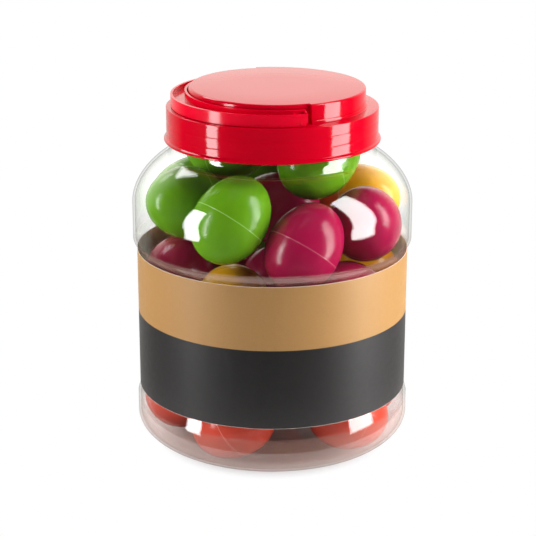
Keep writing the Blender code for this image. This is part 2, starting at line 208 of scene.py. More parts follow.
# Carry handle, with its ribs in degrees round from the hinge
HINGE_BEARING = 17.0
HINGE_HEIGHT = 207.3
HANDLE_RADIUS = 58.7
HANDLE_HINGE_REACH = 53.2
HANDLE_GRIP_REACH = 48.9
HANDLE_BASE = 203.5
HANDLE_FLOOR = 207.4
HANDLE_OUTER_RIM = 210.3
HANDLE_INNER_RIM = 211.8
HANDLE_WALL = 1.4
HANDLE_STEPS = 96
END_OVERHANG = 2.4
END_CHAMFER = 2.0
END_CHAMFER_RISE = 2.0
END_WALL = 1.0
END_DRAFT = 0.4
RIB_ANGLE = 4.0
RIB_WIDTH = 0.9
RIB_DRAFT = 0.4
RIB_SHARE = 0.75
RIB_CLEAR = 3.0
PIN_RADIUS = 1.6
PIN_PLAY = 0.4
PIN_INNER_END = 49.5
PIP_RADIUS = 0.6
PIP_HEIGHT = 0.3
PIP_PLACE = (1.5, 204.9)
PIP_ROOT = 0.5
HANDLE_ROUND = 0.15
HANDLE_ROUND_ANGLE = 40.0
HANDLE_RED = ((0.72, 0.0, 0.021), (0.69, 0.0, 0.019))
HANDLE_ROUGHNESS = 0.15

# Egg shakers
EGG_RADIUS = 21.2
EGG_BLUNT = 24.5
EGG_POINT = 28.5
EGG_WALL = 1.8
EGG_SEGMENTS = 56
EGG_RINGS = 18
EGG_POLE = 0.04
EGG_SMOOTH_ANGLE = 60.0
EGG_ROUGHNESS = (0.19, 0.24)
SEAM_BEAD = 0.06
SEAM_HALF_WIDTH = 0.25
SEAM_SHOULDER = 0.6
SEAM_DIP = 0.01
SEAM_CORE = 0.1
SEAM_TINT = 0.7
SEAM_TOLERANCE = 0.01
COLLAR_HEIGHT = 1.6
COLLAR_WALL = 1.2
COLLAR_GAP = 0.3
PELLET_RADIUS = 1.4
PELLET_SPACING = 2.9
PELLET_LAYERS = range(-2, 3)
PELLET_ROWS = range(-5, 6)
CHARGE_REACH = 10.0
CHARGE_DEPTH = 6.0
STEEL_GREY = ((0.38, 0.37, 0.35), (0.52, 0.51, 0.49))
STEEL_ROUGHNESS = (0.3, 0.5)

# Egg colours: tone, tone in the flow marks and tone of the seam
EGG_COLOURS = {
    "egg_green": ((0.115, 0.30, 0.007), (0.108, 0.285, 0.006), (0.35, 0.55, 0.15)),
    "egg_magenta": ((0.34, 0.004, 0.050), (0.32, 0.004, 0.047), (0.55, 0.15, 0.22)),
    "egg_yellow": ((0.80, 0.39, 0.003), (0.78, 0.37, 0.003), (0.95, 0.65, 0.2)),
    "egg_red": ((0.62, 0.064, 0.036), (0.59, 0.060, 0.034), (0.85, 0.35, 0.25)),
}

# Noise scales, in features per metre
WALL_RIPPLE = 22.0
PLASTIC_FLOW = 45.0
PLASTIC_GLOSS = 160.0
PLASTIC_SKIN = 120.0
EGG_FLOW = 60.0
EGG_GLOSS = 220.0
EGG_SKIN = 300.0
LABEL_GRAIN = 1500.0
LABEL_GLOSS = 300.0
LABEL_FIBRE = 1200.0
FOAM_CELLS = 1400.0
STEEL_WEAR = 500.0

# Camera, floor and studio, with lengths in metres and the lens in millimetres
CAMERA_PLACE = (-0.00252, -0.96111, 0.42241)
CAMERA_PITCH = 18.348577
CAMERA_LENS = 114.27
SHADOW_REACH = (0.048, 0.072)
FLOOR_RADIUS = 6.0
FLOOR_LEVEL = -0.0004
NEAR_FLOOR_RADIUS = 0.13
NEAR_FLOOR_LEVEL = -0.0002
FLOOR_SIDES = 48
FLOOR_GREY = (0.8, 0.8, 0.8, 1.0)
STUDIO_TONE = (1.0, 0.98, 0.91)
STUDIO_STRENGTH = 1.32

# Lamps, in metres; each row is a name, bearing, width, bottom, top and radiance
LAMP_DISTANCE = 0.9
SOFTBOXES = (
    ("left_softbox", -65.5, 0.21, -0.115, 0.70, 10.0),
    ("right_softbox", 76.0, 0.37, -0.118, 1.18, 8.0),
    ("rear_softbox", -143.0, 0.50, 0.80, 1.20, 4.3),
)
FILLS = (
    ("left_fill", -85.0, 0.5, -0.1, 0.8, 4.0),
    ("right_fill", 85.0, 0.6, -0.1, 0.8, 6.5),
)
TOP_FILL_HEIGHT = 1.4
TOP_FILL_WIDTH = 0.8
TOP_FILL_RADIANCE = 4.2


def bearing_vector(bearing):
    """Unit vectors for one bearing or an array of bearings, in degrees."""
    angle = np.radians(bearing)
    return np.stack((np.sin(angle), -np.cos(angle), np.zeros_like(angle)), axis=-1)


def even_bearings(count):
    """Bearings of points spaced evenly round a circle, in degrees."""
    return np.arange(count) * 360.0 / count


def smooth(share):
    """Ease from 0 to 1 with flat ends."""
    share = np.clip(share, 0.0, 1.0)
    return share * share * (3.0 - 2.0 * share)


def spin_rings(line, bearings):
    """Rings of points for a line of (radius, height) points turned round the Z axis."""
    directions = bearing_vector(bearings)
    return [radius * directions + height * UP for radius, height in line]


def skin(rings, loop=False):
    """Vertices and faces through rings of equal length, joined end to end or closed by fans."""
    size = len(rings[0])
    count = len(rings)
    vertices = np.concatenate(rings)
    faces = []
    for ring in range(count if loop else count - 1):
        near = ring * size
        far = (ring + 1) % count * size
        for place in range(size):
            after = (place + 1) % size
            faces.append((near + place, near + after, far + after, far + place))
    if not loop:
        middles = (rings[0].mean(axis=0), rings[-1].mean(axis=0))
        vertices = np.concatenate((vertices, middles))
        for ring, middle in ((0, count * size), (count - 1, count * size + 1)):
            start = ring * size
            for place in range(size):
                faces.append((start + place, start + (place + 1) % size, middle))
    return vertices, faces


def make_mesh(name, vertices, faces, smooth_angle=SMOOTH_ANGLE):
    """Clean mesh in metres with its faces pointing out."""
    mesh = bpy.data.meshes.new(name)
    mesh.from_pydata((np.asarray(vertices) * MM).tolist(), [], faces)
    shape = bmesh.new()
    shape.from_mesh(mesh)
    bmesh.ops.remove_doubles(shape, verts=shape.verts, dist=MERGE_DISTANCE * MM)
    bmesh.ops.recalc_face_normals(shape, faces=shape.faces)
    shape.to_mesh(mesh)
    shape.free()
    mesh.shade_smooth()
    mesh.set_sharp_from_angle(angle=math.radians(smooth_angle))
    return mesh


def make_piece(name, mesh, material, body, node):
    """Show a mesh in place of a solid, on the same body and in the same material slot."""
    piece = bpy.data.objects.new(name, mesh)
    bpy.context.scene.collection.objects.link(piece)
    mesh.materials.append(material)
    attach(piece, body)
    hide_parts(node)


def new_material(name):
    """Empty material and its node tree."""
    material = bpy.data.materials.new(name)
    material.use_nodes = True
    material.node_tree.nodes.clear()
    return material, material.node_tree


def add_node(tree, kind, settings=None, **values):
    """New node with its settings and the default values of its named inputs."""
    node = tree.nodes.new(kind)
    for key, value in (settings or {}).items():
        setattr(node, key, value)
    for key, value in values.items():
        node.inputs[key.replace("_", " ")].default_value = value
    return node


def finish_material(tree, shader):
    """Show a shader on the surface."""
    output = add_node(tree, "ShaderNodeOutputMaterial")
    tree.links.new(shader.outputs[0], output.inputs["Surface"])


def object_place(tree):
    """Place on the piece, in metres in the part's frame."""
    return add_node(tree, "ShaderNodeTexCoord").outputs["Object"]


def object_height(tree):
    """Height on the piece, in metres."""
    parts = add_node(tree, "ShaderNodeSeparateXYZ")
    tree.links.new(object_place(tree), parts.inputs["Vector"])
    return parts.outputs["Z"]


def vector_length(tree, vector):
    """Length of a vector."""
    length = add_node(tree, "ShaderNodeVectorMath", {"operation": "LENGTH"})
    tree.links.new(vector, length.inputs[0])
    return length.outputs["Value"]


def noise_value(tree, scale, detail=3.0):
    """Noise that sticks to the piece, in features per metre."""
    noise = add_node(tree, "ShaderNodeTexNoise", Scale=scale, Detail=detail)
    tree.links.new(object_place(tree), noise.inputs["Vector"])
    return noise.outputs["Fac"]


def ranged(tree, value, low, high, start=0.3, end=0.7):
    """A value between start and end, spread from low to high."""
    spread = add_node(tree, "ShaderNodeMapRange", From_Min=start, From_Max=end, To_Min=low, To_Max=high)
    tree.links.new(value, spread.inputs["Value"])
    return spread.outputs["Result"]


def math_value(tree, operation, *inputs):
    """Result of an operation on fixed numbers and other nodes' outputs."""
    node = add_node(tree, "ShaderNodeMath", {"operation": operation})
    for socket, value in zip(node.inputs, inputs):
        if isinstance(value, float):
            socket.default_value = value
        else:
            tree.links.new(value, socket)
    return node.outputs["Value"]


def mix_colours(tree, factor, first, second):
    """Mix two colours, each a fixed tone or another node's output."""
    mix = add_node(tree, "ShaderNodeMix", {"data_type": "RGBA"})
    sockets = [socket for socket in mix.inputs if socket.type == "RGBA"]
    for socket, colour in zip(sockets, (first, second)):
        if isinstance(colour, tuple):
            socket.default_value = (*colour, 1.0)
        else:
            tree.links.new(colour, socket)
    tree.links.new(factor, mix.inputs[0])
    return [socket for socket in mix.outputs if socket.type == "RGBA"][0]


def mix_shaders(tree, factor, first, second):
    """Mix two shaders, all of the first at factor 0 and all of the second at factor 1."""
    mix = add_node(tree, "ShaderNodeMixShader")
    for socket, source in zip(mix.inputs, (factor, first.outputs[0], second.outputs[0])):
        tree.links.new(source, socket)
    return mix


def add_bump(tree, shader, height, strength, distance):
    """Raise a shader's surface by a height map."""
    bump = add_node(tree, "ShaderNodeBump", Strength=strength, Distance=distance)
    tree.links.new(height, bump.inputs["Height"])
    tree.links.new(bump.outputs["Normal"], shader.inputs["Normal"])


def moulded_plastic(name, tones, roughness):
    """Coloured moulded plastic with faint flow marks, uneven gloss and a fine skin texture."""
    material, tree = new_material(name)
    shader = add_node(tree, "ShaderNodeBsdfPrincipled", IOR=1.52)
    flow = noise_value(tree, PLASTIC_FLOW)
    colour = mix_colours(tree, ranged(tree, flow, 0.0, 1.0), *tones)
    tree.links.new(colour, shader.inputs["Base Color"])
    low = (1 - GLOSS_SPREAD) * roughness
    high = (1 + GLOSS_SPREAD) * roughness
    gloss = noise_value(tree, PLASTIC_GLOSS)
    tree.links.new(ranged(tree, gloss, low, high), shader.inputs["Roughness"])
    add_bump(tree, shader, noise_value(tree, PLASTIC_SKIN), strength=0.08, distance=0.0001)
    finish_material(tree, shader)
    return material


def egg_plastic(name, tone, shade, seam):
    """Satin egg plastic with a paler line along the welded seam."""
    material, tree = new_material(name)
    shader = add_node(tree, "ShaderNodeBsdfPrincipled", IOR=1.5, Specular_IOR_Level=0.42)
    flow = noise_value(tree, EGG_FLOW)
    body = mix_colours(tree, ranged(tree, flow, 0.0, 1.0), tone, shade)
    offset = add_node(tree, "ShaderNodeAttribute", {"attribute_name": "seam_offset"})
    line = ranged(tree, offset.outputs["Fac"], SEAM_TINT, 0.0, SEAM_CORE, SEAM_HALF_WIDTH)
    tree.links.new(mix_colours(tree, line, body, seam), shader.inputs["Base Color"])
    gloss = noise_value(tree, EGG_GLOSS)
    tree.links.new(ranged(tree, gloss, *EGG_ROUGHNESS), shader.inputs["Roughness"])
    add_bump(tree, shader, noise_value(tree, EGG_SKIN), strength=0.05, distance=0.00005)
    finish_material(tree, shader)
    return material


def wall_haze(tree):
    """Share of haze by height: milky at the heel and in the step above the label, where its dark brownish
    red is partly painted shade.
    """
    ramp = add_node(tree, "ShaderNodeValToRGB")
    stops = ramp.color_ramp.elements
    heel_top = PANEL_BOTTOM - PANEL_LOWER_STEP
    step_top = PANEL_TOP + PANEL_UPPER_STEP
    levels = [
        (0.0, FOOT_HAZE),
        (heel_top - HEEL_HAZE_FADE, HEEL_HAZE),
        (heel_top, WALL_HAZE),
        (PANEL_TOP - STEP_HAZE_LOW_FADE, WALL_HAZE),
        (PANEL_TOP, STEP_HAZE),
        (step_top - STEP_HAZE_HIGH_FADE, STEP_HAZE),
        (step_top, WALL_HAZE),
    ]
    while len(stops) < len(levels):
        stops.new(0.5)
    for stop, (level, share) in zip(stops, levels):
        stop.position = level / LIP_HEIGHT
        stop.color = (share, share, share, 1.0)
    rise = ranged(tree, object_height(tree), 0.0, 1.0, start=0.0, end=LIP_HEIGHT * MM)
    tree.links.new(rise, ramp.inputs["Fac"])
    return ramp.outputs["Color"]


def clear_plastic():
    """Thin clear wall: straight through, with a mirror-like skin, a painted shade line where it is seen
    slantwise, and some haze that is partly painted shade.
    """
    material, tree = new_material("clear_plastic")
    sides = add_node(tree, "ShaderNodeNewGeometry")
    from_inside = 1 / CLEAR_IOR - CLEAR_IOR
    ior = math_value(tree, "MULTIPLY_ADD", sides.outputs["Backfacing"], from_inside, CLEAR_IOR)
    fresnel = add_node(tree, "ShaderNodeFresnel")
    tree.links.new(ior, fresnel.inputs["IOR"])
    sheen = math_value(tree, "MINIMUM", fresnel.outputs["Fac"], CLEAR_SHEEN_LIMIT)
    slant = add_node(tree, "ShaderNodeLayerWeight", Blend=0.2)
    # Painted shade: less shows through where the wall is seen slantwise, for a dark line along the edges
    depth = ranged(tree, slant.outputs["Facing"], 0.0, 1.0, start=0.25, end=0.75)
    through = add_node(tree, "ShaderNodeBsdfTransparent")
    tree.links.new(mix_colours(tree, depth, CLEAR_TINT, CLEAR_EDGE_SHADE), through.inputs["Color"])
    # Haze lit by the lamps, in a dark brownish red that is partly painted shade
    haze = add_node(tree, "ShaderNodeBsdfDiffuse", Color=HAZE_AND_SHADE_COLOUR)
    cloudy = mix_shaders(tree, wall_haze(tree), through, haze)
    gloss = add_node(tree, "ShaderNodeBsdfGlossy", Roughness=CLEAR_ROUGHNESS)
    tree.links.new(sheen, gloss.inputs["Color"])
    add_bump(tree, gloss, noise_value(tree, WALL_RIPPLE, detail=1.0), strength=0.05, distance=0.001)
    wall = add_node(tree, "ShaderNodeAddShader")
    tree.links.new(cloudy.outputs[0], wall.inputs[0])
    tree.links.new(gloss.outputs[0], wall.inputs[1])
    finish_material(tree, wall)
    return material


def label_face(tree):
    """Share of print on the label: 1 on the outer face, 0 behind and in a thin strip along the top and
    bottom edges, where pale paper is a painted highlight line.
    """
    flat = add_node(tree, "ShaderNodeVectorMath", {"operation": "MULTIPLY"})
    flat.inputs[1].default_value = (1.0, 1.0, 0.0)
    tree.links.new(object_place(tree), flat.inputs[0])
    reach = vector_length(tree, flat.outputs["Vector"])
    back = LABEL_INNER + LABEL_EDGE_BLUR
    outside = ranged(tree, reach, 0.0, 1.0, back * MM, (back + LABEL_EDGE_BLUR) * MM)
    middle = (LABEL_BOTTOM + LABEL_TOP) / 2 * MM
    offset = math_value(tree, "ABSOLUTE", math_value(tree, "SUBTRACT", object_height(tree), middle))
    # Ink stops short of the edges, leaving the pale strip that is a painted highlight line
    edge = (LABEL_TOP - LABEL_BOTTOM) / 2 - LABEL_EDGE_HIGHLIGHT
    inked = ranged(tree, offset, 1.0, 0.0, edge * MM, (edge + LABEL_EDGE_BLUR) * MM)
    return math_value(tree, "MULTIPLY", outside, inked)


def label_print():
    """Satin wrap label: gold ink over a black lower band, bare paper behind, and a pale paper strip along
    the top and bottom edges as a painted highlight line.
    """
    material, tree = new_material("label_print")
    shader = add_node(tree, "ShaderNodeBsdfPrincipled", IOR=1.5, Specular_IOR_Level=1.0,
                      Sheen_Weight=0.08, Sheen_Roughness=0.45)
    low = (LABEL_SPLIT - LABEL_SPLIT_BLUR) * MM
    high = (LABEL_SPLIT + LABEL_SPLIT_BLUR) * MM
    split = ranged(tree, object_height(tree), 0.0, 1.0, low, high)
    grain = ranged(tree, noise_value(tree, LABEL_GRAIN), 0.0, 1.0)
    gold = mix_colours(tree, grain, *GOLD_INK)
    black = mix_colours(tree, grain, *BLACK_INK)
    paper = mix_colours(tree, grain, *PAPER_AND_EDGE_HIGHLIGHT)
    printed = mix_colours(tree, split, black, gold)
    tree.links.new(mix_colours(tree, label_face(tree), paper, printed), shader.inputs["Base Color"])
    gloss = noise_value(tree, LABEL_GLOSS)
    tree.links.new(ranged(tree, gloss, *LABEL_ROUGHNESS), shader.inputs["Roughness"])
    add_bump(tree, shader, noise_value(tree, LABEL_FIBRE), strength=0.3, distance=0.00002)
    finish_material(tree, shader)
    return material


def foam():
    """White liner foam with a fine cell structure."""
    material, tree = new_material("liner_foam")
    shader = add_node(tree, "ShaderNodeBsdfPrincipled", IOR=1.4)
    cells = noise_value(tree, FOAM_CELLS)
    colour = mix_colours(tree, ranged(tree, cells, 0.0, 1.0), *FOAM_WHITE)
    tree.links.new(colour, shader.inputs["Base Color"])
    tree.links.new(ranged(tree, cells, *FOAM_ROUGHNESS), shader.inputs["Roughness"])
    add_bump(tree, shader, cells, strength=0.5, distance=0.0001)
    finish_material(tree, shader)
    return material


def steel():
    """Dull steel pellets."""
    material, tree = new_material("steel_shot")
    shader = add_node(tree, "ShaderNodeBsdfPrincipled", Metallic=1.0)
    wear = noise_value(tree, STEEL_WEAR)
    colour = mix_colours(tree, ranged(tree, wear, 0.0, 1.0), *STEEL_GREY)
    tree.links.new(colour, shader.inputs["Base Color"])
    tree.links.new(ranged(tree, wear, *STEEL_ROUGHNESS), shader.inputs["Roughness"])
    finish_material(tree, shader)
    return material


def thread_height(bearings, heights, start):
    """Height of a helical ridge above its wall, from 0 to 1, over a grid of heights and bearings."""
    ridge = np.zeros((len(heights), len(bearings)))
    for turn in range(math.ceil(THREAD_TURNS) + 1):
        along = (bearings - THREAD_BEARING) % 360.0 + 360.0 * turn
        middle = start + along / 360.0 * THREAD_PITCH
        gap = np.abs(np.asarray(heights)[:, None] - middle[None, :])
        section = np.clip((THREAD_ROOT / 2 - gap) / ((THREAD_ROOT - THREAD_CREST) / 2), 0.0, 1.0)
        fade = np.clip(along / THREAD_FADE, 0.0, 1.0)
        fade *= np.clip((THREAD_TURNS * 360.0 - along) / THREAD_FADE, 0.0, 1.0)
        ridge = np.maximum(ridge, section * fade[None, :])
    return ridge


def threaded_rings(radius, heights, bearings, start, depth):
    """Rings of a wall that carries the thread."""
    directions = bearing_vector(bearings)
    rings = []
    for ridge, height in zip(thread_height(bearings, heights, start), heights):
        rings.append((radius + depth * ridge)[:, None] * directions + height * UP)
    return rings


def jar_shoulder():
    """Shoulder from the neck down to the straight wall."""
    ease = np.cos(np.linspace(0.0, math.pi / 2, SHOULDER_STEPS))
    rise = ease * (SHOULDER_END - SHOULDER_START)
    reach = (1 - (rise / SHOULDER_RISE) ** SHOULDER_POWER) ** (1 / SHOULDER_POWER)
    radii = SHOULDER_RADIUS - SHOULDER_DEPTH * (1 - reach)
    return list(zip(radii, SHOULDER_START + rise))


def jar_line():
    """Outer wall of the jar from the foot of the neck down to the middle of the base."""
    shoulder = jar_shoulder()
    start = np.array((NECK_RADIUS, NECK_FOOT))
    corner = np.array((NECK_RADIUS + NECK_FILLET, NECK_FOOT - NECK_FILLET_DROP))
    end = np.array(shoulder[0]) + (-NECK_LEDGE, NECK_LEDGE_RISE)
    line = []
    for share in np.linspace(0.0, 1.0, NECK_STEPS):
        line.append(tuple((1 - share) ** 2 * start + 2 * share * (1 - share) * corner + share ** 2 * end))
    line += shoulder
    for share in np.linspace(0.0, 1.0, UPPER_STEP_STEPS):
        radius = SHOULDER_RADIUS + (PANEL_RADIUS - SHOULDER_RADIUS) * smooth(share)
        line.append((radius, PANEL_TOP + PANEL_UPPER_STEP * (1 - share)))
    for share in np.linspace(0.0, 1.0, LOWER_STEP_STEPS):
        radius = PANEL_RADIUS + (HEEL_RADIUS - PANEL_RADIUS) * share
        line.append((radius, PANEL_BOTTOM - PANEL_LOWER_STEP * share))
    for angle in np.linspace(0.0, math.pi / 2, HEEL_STEPS):
        reach = (HEEL_RADIUS - BASE_RING) * math.cos(angle)
        line.append((BASE_RING + reach, HEEL_HEIGHT * (1 - math.sin(angle))))
    for share in np.linspace(0.0, 1.0, PUSH_UP_STEPS):
        radius = BASE_RING_INNER + (PUSH_UP_RADIUS - BASE_RING_INNER) * share
        line.append((radius, PUSH_UP_HEIGHT * smooth(share)))
    line.append((PUSH_UP_RADIUS / 2, PUSH_UP_HEIGHT))
    line.append((MIDDLE_RADIUS, PUSH_UP_HEIGHT))
    return line


def offset_line(line, distance):
    """Copy of an outer wall line, moved into the wall by its thickness."""
    points = np.array(line)
    along = np.gradient(points, axis=0)
    along /= np.linalg.norm(along, axis=1)[:, None]
    inward = np.stack((along[:, 1], -along[:, 0]), axis=1)
    return [tuple(point) for point in points + distance * inward]


def make_jar(material):
    """Clear jar with a threaded neck, from the inside of the base round the lip to the outside."""
    bearings = even_bearings(SEGMENTS)
    outer = jar_line()
    inner = offset_line(outer, WALL)
    bore = NECK_RADIUS - WALL
    lip_low = LIP_HEIGHT - LIP_ROUND
    inside = [point for point in inner if point[0] < bore or point[1] < NECK_FOOT][::-1]
    lip = [
        (bore, NECK_FOOT),
        (bore, lip_low),
        (bore + LIP_CORNER, LIP_HEIGHT - LIP_CORNER),
        (bore + LIP_ROUND, LIP_HEIGHT),
        (NECK_RADIUS - LIP_CORNER, LIP_HEIGHT - LIP_CORNER),
        (NECK_RADIUS, lip_low),
    ]
    rings = spin_rings(inside + lip, bearings)
    heights = np.arange(lip_low - THREAD_SPACING, NECK_FOOT + NECK_THREAD_CLEAR, -THREAD_SPACING)
    rings += threaded_rings(NECK_RADIUS, heights, bearings, NECK_THREAD_START, THREAD_DEPTH)
    rings += spin_rings(outer, bearings)
    mesh = make_mesh("clear_jar", *skin(rings))
    make_piece("clear_jar", mesh, material, "jar", "jar_body")


def make_label(material):
    """Paper band whose ends overlap behind."""
    bearings = even_bearings(SEGMENTS)
    clear = np.abs(bearings - LABEL_LAP_BEARING) > LABEL_LAP_CLEAR
    edges = [LABEL_LAP_BEARING - LABEL_LAP_EDGE, LABEL_LAP_BEARING + LABEL_LAP_EDGE]
    bearings = np.sort(np.concatenate((bearings[clear], edges)))
    under = (LABEL_LAP_BEARING - bearings) % 360.0
    outside = LABEL_RADIUS - LABEL_LAP_STEP * smooth((under - LABEL_LAP) / LABEL_LAP_EASE)
    directions = bearing_vector(bearings)
    rings = []
    for height in (LABEL_BOTTOM, LABEL_TOP):
        rings.append(outside[:, None] * directions + height * UP)
    for height in (LABEL_TOP, LABEL_BOTTOM):
        rings.append(LABEL_INNER * directions + height * UP)
    mesh = make_mesh("wrap_label", *skin(rings, loop=True))
    make_piece("wrap_label", mesh, material, "jar", "label_band")


def hinge_place(across, aside, height):
    """Point given along the hinge line, towards the folded handle, and up."""
    hinge_way = bearing_vector(HINGE_BEARING)
    handle_way = bearing_vector(HINGE_BEARING - 90.0)
    return across * hinge_way + aside * handle_way + height * UP


def boss_radii(angles, inset):
    """Radius of the raised disc at angles from the hinge line, round on one half and oval on the other."""
    turn = np.radians(angles)
    hinge_reach = BOSS_HINGE_REACH - inset
    handle_reach = BOSS_HANDLE_REACH - inset
    oval = 1 / np.hypot(np.cos(turn) / hinge_reach, np.sin(turn) / handle_reach)
    on_oval = (angles > -BOSS_STEP_ANGLE) & (angles < 180.0 + BOSS_STEP_ANGLE)
    return np.where(on_oval, oval, BOSS_RADIUS - inset), on_oval


def lid_angles():
    """Angles from the hinge line, with a close pair at each step of the raised disc."""
    angles = even_bearings(SEGMENTS) - 90.0
    steps = np.array((-BOSS_STEP_ANGLE, 180.0 + BOSS_STEP_ANGLE))
    clear = np.all(np.abs(angles[:, None] - steps[None, :]) > BOSS_STEP_CLEAR, axis=1)
    return np.sort(np.concatenate((angles[clear], steps - BOSS_STEP_EDGE, steps + BOSS_STEP_EDGE)))


def rod(start, end, radius, aside=0.0, height=HINGE_HEIGHT):
    """Vertices and faces of a round rod parallel to the hinge line."""
    rings = []
    for across in (start, end):
        ring = []
        for turn in np.radians(even_bearings(ROD_SIDES)):
            side = aside + radius * math.cos(turn)
            ring.append(hinge_place(across, side, height + radius * math.sin(turn)))
        rings.append(np.array(ring))
    return skin(rings)


def add_blank(name, mesh):
    """Working object that carries modifiers until its mesh is settled."""
    blank = bpy.data.objects.new(name, mesh)
    bpy.context.scene.collection.objects.link(blank)
    return blank


def settled_mesh(name, blank):
    """Mesh of a working object with its modifiers applied and its slivers taken out."""
    graph = bpy.context.evaluated_depsgraph_get()
    mesh = bpy.data.meshes.new_from_object(blank.evaluated_get(graph))
    mesh.name = name
    shape = bmesh.new()
    shape.from_mesh(mesh)
    bmesh.ops.dissolve_degenerate(shape, dist=MERGE_DISTANCE * MM, edges=shape.edges)
    shape.to_mesh(mesh)
    shape.free()
    bpy.data.objects.remove(blank)
    return mesh


def cut_sockets(mesh):
    """Copy of the lid mesh with a round socket for each hinge pin."""
    blank = add_blank("lid_blank", mesh)
    cutters = []
    for side in (1.0, -1.0):
        bore = rod(side * PIN_INNER_END, side * HANDLE_HINGE_REACH, PIN_RADIUS + PIN_PLAY)
        cutter = add_blank("pin_socket", make_mesh("pin_socket", *bore))
        cut = blank.modifiers.new("pin_socket", "BOOLEAN")
        cut.operation = "DIFFERENCE"
        cut.object = cutter
        cutters.append(cutter)
    result = settled_mesh("screw_lid", blank)
    for cutter in cutters:
        bpy.data.objects.remove(cutter)
    return result


def lid_ring(directions, radii, heights):
    """Ring of the lid, with one radius and one height for all directions or one for each."""
    size = len(directions)
    radii = np.broadcast_to(radii, size)[:, None]
    heights = np.broadcast_to(heights, size)[:, None]
    return radii * directions + heights * UP


def lid_inside(directions, bearings, core):
    """Rings from the middle of the hollow disc out to the bore and down its thread."""
    core_top = BOSS_TOP - LID_WALL
    corners = [
        (MIDDLE_RADIUS, core_top),
        (core - CORE_CHAMFER, core_top),
        (core, core_top - CORE_CHAMFER),
        (core, LID_CEILING),
        (SKIRT_BORE - BORE_ROUND, LID_CEILING),
        (SKIRT_BORE, LID_CEILING - BORE_ROUND),
    ]
    rings = [lid_ring(directions, radii, height) for radii, height in corners]
    heights = np.arange(LID_CEILING - 2 * BORE_ROUND, SKIRT_BOTTOM + LID_THREAD_CLEAR, -THREAD_SPACING)
    return rings + threaded_rings(SKIRT_BORE, heights, bearings, LID_THREAD_START, -THREAD_DEPTH)


def lid_bead(directions):
    """Rings round the lower edge of the skirt and its bead, up to the start of the skirt's wall."""
    rings = [lid_ring(directions, SKIRT_BORE + BORE_FLARE, SKIRT_BOTTOM)]
    rings.append(lid_ring(directions, BEAD_RADIUS - BEAD_EDGE, SKIRT_BOTTOM))
    for angle in np.linspace(-BEAD_ARC, BEAD_ARC, BEAD_STEPS):
        turn = math.radians(angle)
        radius = BEAD_RADIUS - BEAD_CROWN * (1 - math.cos(turn))
        rings.append(lid_ring(directions, radius, SKIRT_BOTTOM + BEAD_HEIGHT / 2 * (1 + math.sin(turn))))
    for share in BEAD_FLARE_STEPS:
        radius = SKIRT_RADIUS + (BEAD_RADIUS - BEAD_FLARE_INSET - SKIRT_RADIUS) * (1 - share) ** 2
        rings.append(lid_ring(directions, radius, SKIRT_BOTTOM + BEAD_HEIGHT + BEAD_FLARE * share))
    return rings


def lid_skirt(directions, bearings):
    """Rings up the skirt, with faint sink lines over the thread, and round the edge of the ledge."""
    low = SKIRT_BOTTOM + BEAD_HEIGHT + BEAD_FLARE
    high = LEDGE_HEIGHT - LEDGE_ROUND
    along = (bearings - THREAD_BEARING) % 360.0 / 360.0 * THREAD_PITCH
    rings = []
    for height in np.linspace(low, high, SKIRT_STEPS):
        offset = (height - LID_THREAD_START - along + THREAD_PITCH / 2) % THREAD_PITCH - THREAD_PITCH / 2
        sink = SINK_DEPTH * np.exp(-(offset / SINK_WIDTH) ** 2)
        sink *= smooth((height - low) / SINK_LOW_FADE) * smooth((high - height) / SINK_HIGH_FADE)
        rings.append(lid_ring(directions, SKIRT_RADIUS - sink, height))
    for angle in np.linspace(0.0, 90.0, LEDGE_STEPS + 1)[1:]:
        turn = math.radians(angle)
        radius = SKIRT_RADIUS - LEDGE_ROUND * (1 - math.cos(turn))
        rings.append(lid_ring(directions, radius, high + LEDGE_ROUND * math.sin(turn)))
    return rings


def lid_disc(directions, outline, on_oval):
    """Rings from the ledge up the side of the raised disc and over to its middle."""
    foot = np.where(on_oval, 0.0, BOSS_FOOT)
    foot_top = LEDGE_HEIGHT + BOSS_FOOT_HEIGHT
    corners = [
        (outline + foot + BOSS_FOOT_ROUND, LEDGE_HEIGHT),
        (outline + foot, LEDGE_HEIGHT + BOSS_FOOT_ROUND),
        (outline + foot, foot_top - BOSS_FOOT_ROUND),
        (outline + BOSS_FOOT_SHARE * foot, foot_top),
        (outline, foot_top),
    ]
    rounding = np.where(on_oval, BOSS_HANDLE_ROUND, BOSS_ROUND)
    for angle in np.linspace(0.0, 90.0, BOSS_ROUND_STEPS):
        turn = math.radians(angle)
        radii = outline - rounding * (1 - math.cos(turn))
        corners.append((radii, BOSS_TOP - rounding * (1 - math.sin(turn))))
    corners += [(0.5 * outline, BOSS_TOP), (MIDDLE_RADIUS, BOSS_TOP)]
    return [lid_ring(directions, radii, heights) for radii, heights in corners]


def make_lid(material):
    """Screw lid, from the middle of its inside round the skirt to the middle of the raised disc."""
    angles = lid_angles()
    bearings = HINGE_BEARING - angles
    directions = bearing_vector(bearings)
    core, _ = boss_radii(angles, LID_WALL)
    outline, on_oval = boss_radii(angles, 0.0)
    rings = lid_inside(directions, bearings, core)
    rings += lid_bead(directions)
    rings += lid_skirt(directions, bearings)
    rings += lid_disc(directions, outline, on_oval)
    mesh = cut_sockets(make_mesh("screw_lid", *skin(rings)))
    make_piece("screw_lid", mesh, material, "lid", "lid")


